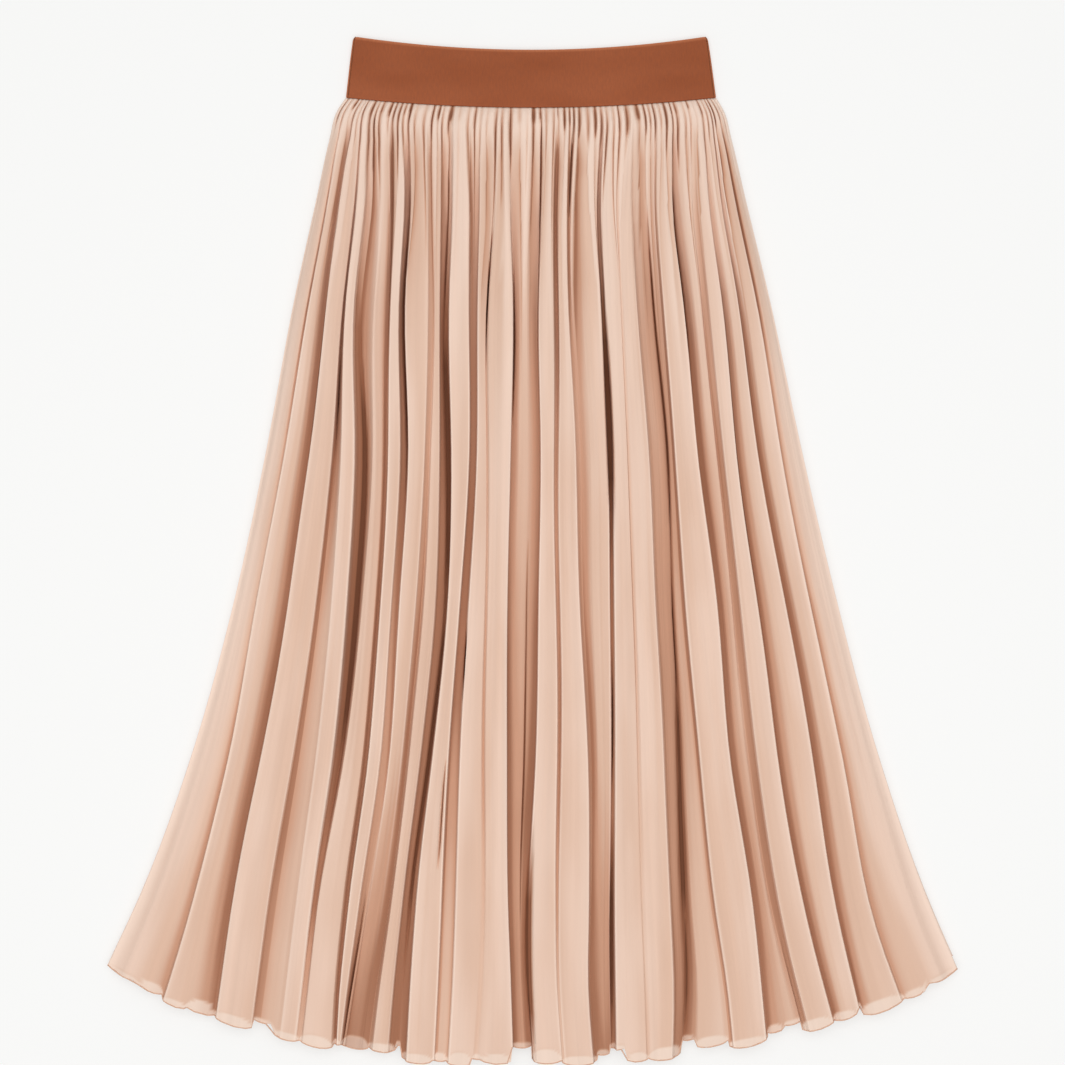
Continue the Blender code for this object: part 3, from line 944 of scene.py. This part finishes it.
@dataclass
class Panel:
    """One chiffon panel: a shell laid in folds.

    The hem line is the last row of points, which the rolled hem follows. Pairs are mostly the stretch of the way
    down over which something starts, grows or ends.
    """

    cut: Cut
    side: Side
    name: str
    node: str
    lanes: int = 10
    top_rows: int = 27
    middle_rows: int = 29
    hem_rows: int = 17
    length: float = 1.0
    hem_width: float = 1.20
    seam_width: float = 0.62
    gathers: Gathers = Gathers()
    shading: Shading = Shading()
    top: float = 0.13
    top_power: float = 1.3
    middle: float = 0.980
    half_way: float = 0.58
    levels_start: float = 0.2
    face_moves: tuple = (0.2, 0.85)
    side_columns: float = 0.3
    columns_ease: tuple = (0.02, 0.2)
    # Painted highlight along crisp edges: where it starts, its width, and its strength at ledges and steps.
    rims_start: tuple = (0.05, 0.3)
    rim_width: float = 0.8
    faint_rim: float = 0.6
    drop_room: float = 0.9
    drop_power: float = 1.3
    crown_sway: float = 0.04
    crown_pace: tuple = (1.0, 2.2)
    crown_sways: tuple = (0.1, 0.5)
    full_tilt: float = 0.2
    crease_gain: float = 3.0
    crease_fades: tuple = (0.12, 0.05)
    ledge: float = 1.8
    gap_power: float = 0.6
    gap_gain: float = 1.5
    gap_floor: float = 0.55
    gap_beyond: float = 0.006
    gap_least: float = 0.0004
    top_edge: float = 0.009
    edge_widens: tuple = (0.05, 0.6)
    back_walls: float = 0.003
    back_resting: float = 0.8
    back_gather: float = 0.5
    back_rise: float = 0.4
    seed: int = 7
    hem_line: Array | None = None

    def rows(self) -> Array:
        """Place the rows, close together at the gathers and the hem.

        Returns:
            Their shares of the way down.
        """
        top = self.top * np.linspace(0, 1, self.top_rows, endpoint=False) ** self.top_power
        middle = np.linspace(self.top, self.middle, self.middle_rows, endpoint=False)
        return np.concatenate([top, middle, np.linspace(self.middle, 1.0, self.hem_rows + 1)]) * self.length

    def sections(self) -> dict[str, Array]:
        """Work out the folds of every row.

        Returns:
            Row by column arrays: x, down the skirt, height as a share of the fold height, fall of a tilted face,
            rim, slit between gathers, crease in metres, and depth in a gap.
        """
        rng = np.random.default_rng(self.seed)
        down = self.rows()
        borders = self.cut.borders(down)
        sway = self.crown_sway * ramp(down, *self.crown_sways)
        parts = {key: [] for key in ("x", "height", "fall", "rim", "slit", "crease", "gap")}
        for i, fold in enumerate(FOLDS):
            last = i == len(FOLDS) - 1
            even = np.linspace(0, 1, fold.gathers * self.lanes + last, endpoint=last)[None, :]
            share, width = self.share(fold, even, down), np.diff(borders[:, i : i + 2])
            strip = Strip(i, fold, even, share, down, width)
            low_left = 0.0 if i == 0 else self.towards_hem(FOLDS[i - 1].valley, down)
            low_right = 0.0 if last else self.towards_hem(fold.valley, down)
            phase, pace = rng.uniform(0, 2 * math.pi), rng.uniform(*self.crown_pace)
            crown = self.towards_hem(fold.crown, down) * (1 + sway * np.sin(2 * math.pi * pace * down + phase))
            height, rim, fall = self.profile(strip, (low_left, crown, low_right))
            parts["x"].append(borders[:, i : i + 1] + share * width)
            parts["height"].append(height)
            # fall also sets the painted shade on tilted faces, and rim the painted highlight.
            parts["fall"].append(min(abs(fold.tilt) / self.full_tilt, 1) * fall)
            parts["rim"].append(rim * ramp(down, *self.rims_start)[:, None])
            parts["slit"].append(self.gathers.slits(strip, rng))
            parts["crease"].append(self.creases(strip))
            parts["gap"].append(self.gaps(strip))
        made = {key: np.concatenate(value, axis=1) for key, value in parts.items()}
        made["down"] = np.repeat(down[:, None], made["x"].shape[1], axis=1)
        return made

    def face(self, fold: Fold, down: Array) -> tuple[Array, Array]:
        """Where a fold's face begins and ends in each row, as shares of the fold's width."""
        lower = np.interp(down, self.face_moves, (0, 1))
        return tuple((top + (hem - top) * lower)[:, None] for top, hem in zip(fold.face[:2], fold.face[2:]))

    def share(self, fold: Fold, even: Array, down: Array) -> Array:
        """Place a fold's columns: even in the gathers, close together at the face's edges below.

        Args:
            fold: The fold.
            even: Even places across it.
            down: Each row's share of the way down.

        Returns:
            Row by column places, as shares of the fold's width.
        """
        side = self.side_columns
        face_from, face_to = self.face(fold, down)
        eased = np.select(
            [even + 0 * face_to < side, even + 0 * face_to <= 1 - side],
            [face_from * ramp(even, 0, side), face_from + (face_to - face_from) * ramp(even, side, 1 - side)],
            face_to + (1 - face_to) * ramp(even, 1 - side, 1),
        )
        return even + (eased - even) * ramp(down, *self.columns_ease)[:, None]

    def towards_hem(self, heights: tuple, down: Array) -> Array:
        """A height that changes gently from near the top, past half way, to the hem."""
        upper, lower = ramp(down, self.levels_start, self.half_way), ramp(down, self.half_way, 1.0)
        return heights[0] + (heights[1] - heights[0]) * upper + (heights[2] - heights[1]) * lower

    def profile(self, strip: Strip, levels: tuple) -> tuple[Array, Array, Array]:
        """Work out a fold's form across its width.

        Args:
            strip: The fold.
            levels: Its left valley's, crown's and right valley's heights in each row.

        Returns:
            Row by column: the heights, how near each point is to a crisp edge, and how far along its face's fall.
        """
        fold, share, room_mm = strip.fold, strip.share, strip.width / MM
        low_left, crown, low_right = (np.broadcast_to(v, share.shape[:1])[:, None] for v in levels)
        face_from, face_to = self.face(fold, strip.down)
        along = np.clip((share - face_from) / (face_to - face_from), 0, 1)
        fall = along if fold.tilt > 0 else 1 - along
        height = crown - abs(fold.tilt) * fall * (crown - np.maximum(low_left, low_right))
        rim = np.zeros_like(share)
        sides = (
            (fold.left_edge, face_from, face_from - share, low_left),
            (fold.right_edge, 1 - face_to, share - face_to, low_right),
        )
        for edge, room, beyond, low in sides:
            drop_width, at_once = edge.value
            away = beyond * room_mm
            quick = ramp(away, 0, np.minimum(drop_width, self.drop_room * room * room_mm))
            slow = np.sin(0.5 * math.pi * np.clip(beyond / room, 0, 1)) ** self.drop_power
            height = height + (low - height) * (at_once * quick + (1 - at_once) * slow) * (beyond > 0)
            # Painted highlight along crisp edges, fainter at ledges and steps.
            if edge is not Edge.SOFT:
                strength = 1.0 if edge is Edge.CRISP else self.faint_rim
                rim = np.maximum(rim, strength * np.exp(-((away / self.rim_width) ** 2)))
        return height, rim, fall

    def creases(self, strip: Strip) -> Array:
        """Lay the soft creases along one fold.

        Args:
            strip: The fold.

        Returns:
            How far they lift the cloth, in metres, row by column.
        """
        made, down = np.zeros_like(strip.share), strip.down
        before, after = self.crease_fades
        for crease in (c for c in CREASES if c.fold == strip.index):
            place = crease.share + (crease.share_low - crease.share) * down
            across = (strip.share - place[:, None]) * strip.width / (crease.width * MM)
            along = ramp(down, crease.start - before, crease.start + after)
            along = along * fades(down, crease.end - after, crease.end + before)
            if crease.form in (Form.LEFT, Form.RIGHT):
                beyond = across if crease.form is Form.LEFT else -across
                steep = np.exp(-((beyond * crease.width) ** 2))
                lift = np.where(beyond > 0, np.exp(-beyond / self.ledge), steep)
            else:
                lift = crease.form.value * np.exp(-(across**2))
            made += crease.depth * MM * lift * along[:, None]
        return made

    def gaps(self, strip: Strip) -> Array:
        """Open the deep gaps at one fold of the front, each of which comes to a point at both ends.

        Args:
            strip: The fold.

        Returns:
            How deep in a gap each point is, row by column: 1 at its bottom.
        """
        made = np.zeros_like(strip.share)
        for gap in (g for g in GAPS if self.side is Side.FRONT and 0 <= strip.index - g.fold <= 1):
            along = np.clip((strip.down - gap.start) / (gap.end - gap.start), 0, 1)[:, None]
            along = np.sin(math.pi * along)
            wide = MM * gap.width * along**self.gap_power
            away = np.abs(strip.share - (gap.share - (strip.index - gap.fold))) * strip.width
            if gap.fold != strip.index:
                away = np.where(strip.share * strip.width > self.gap_beyond, 1.0, away)
            inside = fades(away / np.maximum(wide / 2, 1e-6), self.gap_floor, 1.0)
            inside = inside * np.clip(self.gap_gain * along, 0, 1) * (wide > self.gap_least)
            made = np.maximum(made, inside)
        return made

    def surface(self) -> tuple[Array, Array, dict[str, Array]]:
        """Turn the sections into a surface.

        Returns:
            Row by column places, places on the cloth, and each attribute's values.
        """
        cut, part, front = self.cut, self.sections(), self.side is Side.FRONT
        x, down, height = part["x"], part["down"], part["height"]
        back, fold, gather = (cut.layer(name, down) for name in ("back", "fold", "gather"))
        rise, sheer = cut.lobes(x[-1])
        edge = self.edge_fade(x, down, cut.edge)
        if front:
            crease = part["crease"] * np.minimum(height * self.crease_gain, 1)
            folded = fold * height + gather * (1 - part["slit"]) + crease
            seam = back + cut.seam_gap + cut.cloth
            z = seam + cut.cloth + folded * (1 - part["gap"])
        else:
            room = np.maximum(back - self.back_walls, 0.0) * (1 - np.minimum(height / self.back_resting, 1.0))
            seam = back - cut.cloth
            z = cut.cloth / 2 + room + self.back_gather * gather * part["slit"]
            left, right = cut.half_width(down[:, :1], "left"), cut.half_width(down[:, :1], "right")
            x = -x * np.where(x < 0, right / left, left / right)
            rise = self.back_rise * rise
        z = seam + (z - seam) * edge
        y = cut.down_the_skirt(x, down, rise[None, :])
        # The painted shade, light and highlights are worked out from how much light each point sees.
        turns = (self.edge_fade(x, down, 2 * cut.edge), self.edge_fade(x, down, cut.edge))
        above_sheer = (down[-1:] - down) * (cut.seam_y - cut.hem_y) - sheer
        values = self.shading.values(part, openness(x, z * self.side.value), turns, above_sheer, front)
        return np.stack([x, y, z], axis=-1), self.chart(x, y, z), values

    def edge_fade(self, x: Array, down: Array, wide: float) -> Array:
        """Find how near the side seams the cloth is, where it turns down to them.

        Args:
            x: Row by column places across.
            down: Their share of the way down.
            wide: How broad the turned edge is by the hem. It is narrower at the band.

        Returns:
            0 at the side seams and 1 a little way in.
        """
        near = np.minimum(x - x.min(axis=1, keepdims=True), x.max(axis=1, keepdims=True) - x)
        wide = self.top_edge + (wide - self.top_edge) * ramp(down, *self.edge_widens)
        return np.sin(0.5 * math.pi * np.clip(near / wide, 0, 1))

    def chart(self, x: Array, y: Array, z: Array) -> Array:
        """Find each point's place on the cloth.

        Args:
            x: Row by column places across.
            y: Their y.
            z: Their height.

        Returns:
            Places measured along the folds' own surface half way down, and down the skirt.
        """
        middle = x.shape[0] // 2
        steps = np.hypot(np.diff(x[middle]), np.diff(z[middle]))
        across = np.concatenate([[0.0], np.cumsum(steps)])
        return np.stack([np.broadcast_to(across, x.shape), y], axis=-1)

    def build(self, material: Material) -> Object:
        """Make the panel's shell.

        Args:
            material: The chiffon.

        Returns:
            The panel's object.
        """
        places, chart, values = self.surface()
        grid = Grid(places.shape[1] - 1, places.shape[0] - 1)
        grid.place(places, chart, values)
        made = grid.to_object(self.name, material)
        shell = made.modifiers.new("cloth", "SOLIDIFY")
        shell.thickness = self.cut.cloth
        shell.offset = 0.0
        self.hem_line = places[-1]
        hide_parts(self.node)
        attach(made, BODY)
        return made


@dataclass
class RolledHem:
    """The narrow hem rolled up along a panel's lower edge."""

    line: Array
    name: str
    radius: float = 0.0007
    sides: int = 6
    step: int = 2

    def build(self, material: Material) -> Object:
        """Make the roll: a small ring carried along the panel's last row.

        Args:
            material: The rolled chiffon.

        Returns:
            The hem's object.
        """
        line = self.line[:: self.step]
        along = np.gradient(line, axis=0)
        along /= np.linalg.norm(along, axis=1)[:, None]
        out = np.cross(along, (0.0, 0.0, 1.0))
        out /= np.linalg.norm(out, axis=1)[:, None]
        up = np.cross(out, along)
        grid = Grid(len(line) - 1, self.sides)
        for vert, row, col in list(grid.points()):
            turn = 2 * math.pi * row / self.sides
            ring = out[col] * math.cos(turn) + up[col] * math.sin(turn)
            vert.co = line[col] + self.radius * ring
            vert.co.z = max(vert.co.z, 0.0)
        bmesh.ops.remove_doubles(grid.bm, verts=grid.bm.verts, dist=self.radius / 100)
        bmesh.ops.holes_fill(grid.bm, edges=[e for e in grid.bm.edges if e.is_boundary], sides=self.sides)
        made = grid.to_object(self.name, material)
        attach(made, BODY)
        return made


@dataclass
class Waistband:
    """Wide covered elastic, sewn into a ring and lying flat."""

    cut: Cut
    top_left: float = 0.1802
    top_right: float = 0.176
    top_y: float = 0.500
    top_sag: float = 0.0135
    wall: float = 0.0026
    thick: float = 0.0066
    rim: float = 0.0010
    corner: float = 0.0052
    corner_power: int = 4
    groove: float = 0.0028
    groove_depth: float = 0.00025
    groove_width: float = 0.0008
    # How wide the painted highlight along the top edge and ends is.
    light_edge: float = 0.0014
    steps: int = 110
    end_steps: int = 8
    rim_steps: int = 4
    rows: int = 26

    def outline(self, inset: float) -> Array:
        """Draw the ring as seen along its height.

        Args:
            inset: How far inside the outer face the outline lies.

        Returns:
            A row for each point: share across, distance in from the end, and height.
        """
        half = self.thick / 2 - inset
        even = np.linspace(-1, 1, self.steps + 1)
        across = 0.5 * np.sin(even * math.pi / 2) + 0.5 * even
        turns = np.linspace(math.pi / 2, -math.pi / 2, self.end_steps + 1)
        made = [(share, 0.0, half) for share in across[1:-1]]
        made += [(1.0, half * (1 - math.cos(t)) + inset, half * math.sin(t)) for t in turns]
        return np.array(made + [(-share, end, -z) for share, end, z in made])

    def rings(self) -> list[tuple[float, float]]:
        """Draw the wall's section.

        Returns:
            Each point's inset from the outer face and its height up the band.
        """
        tall = self.top_y - self.cut.seam_y
        turns = np.linspace(0, math.pi / 2, self.rim_steps)[1:]
        outer = [(0.0, high) for high in np.linspace(self.rim, tall - self.rim, self.rows)]
        top = [(self.rim * (1 - math.cos(t)), tall - self.rim * (1 - math.sin(t))) for t in turns]
        inside = [(self.wall - inset, high) for inset, high in reversed(top)]
        bottom = [(self.wall - inset, tall - high) for inset, high in top]
        bottom += [(inset, tall - high) for inset, high in reversed(top)]
        return outer + top + inside + [(self.wall, tall / 2)] + bottom

    def build(self, material: Material) -> Object:
        """Make the band: a grid rolled round its wall's section.

        Args:
            material: The elastic.

        Returns:
            The band's object.
        """
        rings, tall = self.rings(), self.top_y - self.cut.seam_y
        outlines = [self.outline(inset) for inset, _ in rings]
        grid = Grid(len(outlines[0]), len(rings))
        # The painted highlight's share at each point.
        rim = grid.bm.verts.layers.float.new("rim")
        left, right = (self.cut.half_width(np.zeros(1), side)[0] for side in ("left", "right"))
        for vert, row, col in list(grid.points()):
            inset, high = rings[row % len(rings)]
            across, end, z = outlines[row % len(rings)][col % len(outlines[0])]
            up = high / tall
            upper, lower = (self.top_left, left) if across < 0 else (self.top_right, right)
            wide = upper + (lower - upper) * (1 - up)
            x = across * wide - math.copysign(end, across)
            bottom = self.cut.seam_y + self.cut.seam_sag * across**2
            top = self.top_y + self.top_sag * across**2
            from_end = wide - abs(x)
            near = max(self.corner - from_end, 0.0) / self.corner
            y = bottom + up * (top - bottom)
            y -= self.corner * (1 - math.sqrt(1 - near**2)) * up**self.corner_power
            edge = min(tall - high, from_end)
            dip = self.groove_depth * math.exp(-(((edge - self.groove) / self.groove_width) ** 2)) * (inset == 0)
            flat = 1 - abs(abs(z) - self.thick / 2) / self.thick
            vert.co = (x, y, z - math.copysign(dip * max(flat, 0.0), z) + self.thick / 2)
            # Painted highlight: 1 at the top edge and the ends, fading inwards.
            vert[rim] = math.exp(-((edge / self.light_edge) ** 2))
        bmesh.ops.remove_doubles(grid.bm, verts=grid.bm.verts, dist=1e-6)
        made = grid.to_object("waistband_elastic", material)
        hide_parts("waistband")
        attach(made, BODY)
        return made


@dataclass
class Studio:
    """A pale floor, soft light and the camera straight above. Each lamp has its name, its x and its power."""

    view_width: float = 1.065
    outline_height: float = 0.010
    camera_height: float = 3.2
    middle_y: float = 0.0165
    sensor: float = 0.036
    floor_size: float = 30.0
    floor_drop: float = 0.0002
    floor_colour: tuple = (0.42, 0.42, 0.415, 1.0)
    floor_light: tuple = (1.0, 1.0, 0.99, 1.0)
    floor_glow: float = 0.525
    floor_roughness: float = 0.95
    sky: float = 0.46
    lamps: tuple = (("left", -0.6, 31.5), ("right", 0.6, 29.0))
    lamp_size: tuple = (2.2, 3.2)
    lamp_y: float = -0.2
    lamp_height: float = 2.8

    def floor(self) -> None:
        """A pale surface under the skirt, lit a little from below as a light table is."""
        grid, half = Grid(2, 2), self.floor_size / 2
        for vert in grid.bm.verts:
            vert.co = (vert.co.x * half, vert.co.y * half, -self.floor_drop)
        material = Shader.start("pale_floor").finish(
            Base_Color=self.floor_colour,
            Emission_Color=self.floor_light,
            Emission_Strength=self.floor_glow,
            Roughness=self.floor_roughness,
            Specular_IOR_Level=0.0,
        )
        grid.to_object("floor", material)

    def lights(self) -> None:
        """Even light from all round, and a soft light on each side."""
        world = bpy.data.worlds.new("studio")
        bpy.context.scene.world = world
        world.use_nodes = True
        sky = world.node_tree.nodes["Background"]
        sky.inputs["Color"].default_value = (1.0, 1.0, 1.0, 1.0)
        sky.inputs["Strength"].default_value = self.sky
        for name, x, power in self.lamps:
            light = bpy.data.lights.new(f"softbox_{name}", "AREA")
            light.shape, light.energy = "RECTANGLE", power
            light.size, light.size_y = self.lamp_size
            lamp = bpy.data.objects.new(f"softbox_{name}", light)
            lamp.location = (x, self.lamp_y, self.lamp_height)
            lamp.rotation_euler = (0.0, math.atan2(x, self.lamp_height), 0.0)
            bpy.context.scene.collection.objects.link(lamp)

    def camera(self) -> None:
        """The camera, looking straight down with the waist at the top."""
        lens = bpy.data.cameras.new("camera")
        lens.sensor_width = self.sensor / MM
        lens.lens = self.sensor * (self.camera_height - self.outline_height) / self.view_width / MM
        eye = bpy.data.objects.new("camera", lens)
        eye.location = (0.0, self.middle_y, self.camera_height)
        bpy.context.scene.collection.objects.link(eye)
        bpy.context.scene.camera = eye

    def build(self) -> None:
        """Set the scene up."""
        self.floor()
        self.lights()
        self.camera()
        bpy.context.scene.view_settings.view_transform = "Standard"


def main() -> None:
    """Build the skirt's pieces in order."""
    logging.basicConfig(level=logging.INFO, format="%(name)s: %(message)s")
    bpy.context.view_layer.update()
    Studio().build()
    cut = Cut()
    chiffon, roll = ChiffonFinish().material(), HemFinish().material()
    front = Panel(cut, Side.FRONT, "front_cloth", "front_panel")
    back_length = 1 - cut.back_shorter / (cut.seam_y - cut.hem_y)
    back = Panel(cut, Side.BACK, "back_cloth", "back_panel", lanes=5, top_rows=20, middle_rows=30, hem_rows=8,
                 length=back_length, hem_width=1.16, seam_width=0.60)
    for panel in (front, back):
        cloth = panel.build(chiffon)
        hem = RolledHem(panel.hem_line, f"{panel.name}_hem").build(roll)
        LOG.info("%s: %d faces", cloth.name, len(cloth.data.polygons))
    band = Waistband(cut).build(ElasticFinish().material())
    LOG.info("%s: %d faces", band.name, len(band.data.polygons))


if __name__ == "__main__":
    main()
